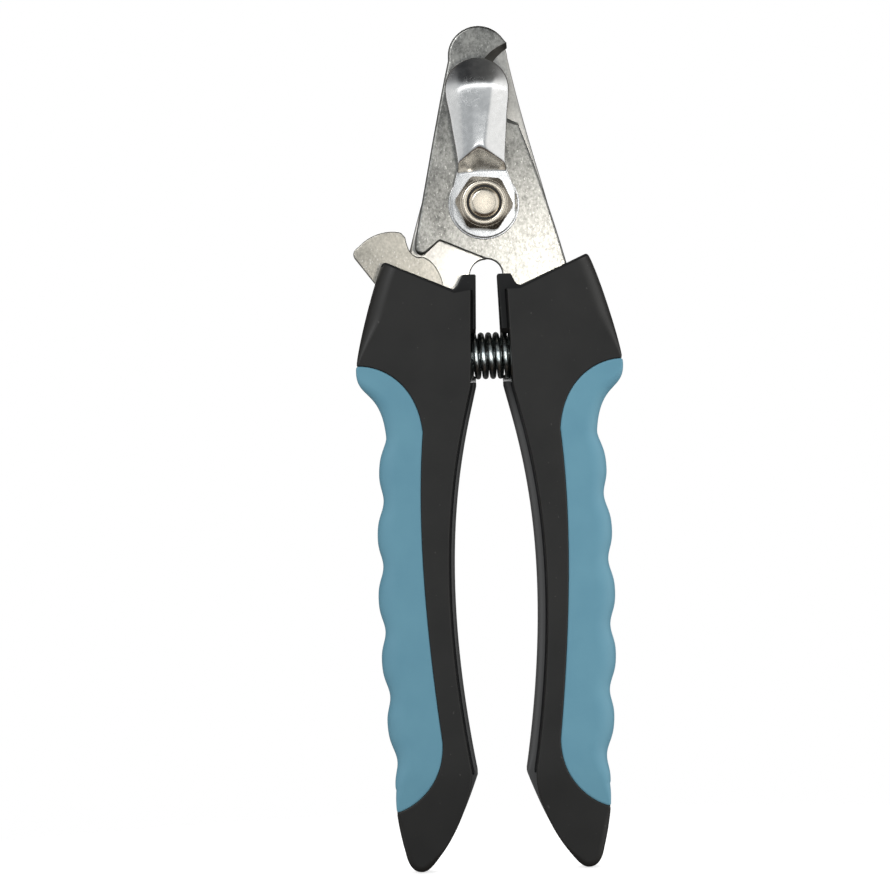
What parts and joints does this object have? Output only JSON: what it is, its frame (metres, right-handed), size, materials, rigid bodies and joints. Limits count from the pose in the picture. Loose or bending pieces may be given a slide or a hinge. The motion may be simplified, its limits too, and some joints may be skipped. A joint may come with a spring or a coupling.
{
  "type": "pet nail trimmer",
  "caption": "Plier-type pet nail trimmer with crossing hook and anvil blades, coil return spring, swivelling safety guard, lock lever and two-tone scalloped handles.",
  "frame": {"origin": "on the pivot axis, at the rear face of the bolt head", "axes": "+Z along the tool towards the blade tip, +X to the right seen from the front, +Y out of the back; the front with the lock nut faces -Y"},
  "size_m": [0.0516, 0.0174, 0.1639],
  "materials": {
    "blade_steel": "satin ground stainless steel",
    "bright_steel": "bright machined steel",
    "guard_steel": "polished sheet steel",
    "nylon": "natural nylon",
    "spring_steel": "blackened spring steel",
    "black_plastic": "fine satin moulded plastic",
    "blue_rubber": "soft satin moulded rubber"
  },
  "bodies": {
    "left_half": {"anvil_blade": "blade_steel", "pivot_bolt": "bright_steel", "head_washer": "bright_steel", "guard_washer": "bright_steel", "lock_nut": "bright_steel", "nut_insert": "nylon", "lever_pin": "bright_steel", "lever_washer": "bright_steel", "return_spring": "spring_steel", "left_spring_cup": "spring_steel", "left_core": "black_plastic", "left_front_shell": "black_plastic", "left_back_shell": "black_plastic", "left_grip": "blue_rubber", "left_tang_rivets": "bright_steel"},
    "right_half": {"hook_blade": "blade_steel", "right_spring_cup": "spring_steel", "right_core": "black_plastic", "right_front_shell": "black_plastic", "right_back_shell": "black_plastic", "right_grip": "blue_rubber", "right_tang_rivets": "bright_steel"},
    "guard": {"safety_guard": "guard_steel"},
    "lever": {"lock_lever": "blade_steel"}
  },
  "joints": [
    {"name": "handle_open", "type": "hinge", "parent": "left_half", "child": "right_half", "pos_m": [0, -0.00705, 0], "axis": [0, -1, 0], "range_deg": [0, 24], "deforming": ["return_spring"]},
    {"name": "lock_lever_swing", "type": "hinge", "parent": "left_half", "child": "lever", "pos_m": [-0.0123, -0.0084, -0.019], "axis": [0, -1, 0], "range_deg": [0, 54]},
    {"name": "guard_swivel", "type": "hinge", "parent": "left_half", "child": "guard", "pos_m": [0, -0.0109, 0], "axis": [0, -1, 0], "range_deg": [-60, 60]}
  ],
  "couplings": [
    {"joint": "lock_lever_swing", "follows": "handle_open", "ratio": 2.25}
  ]
}
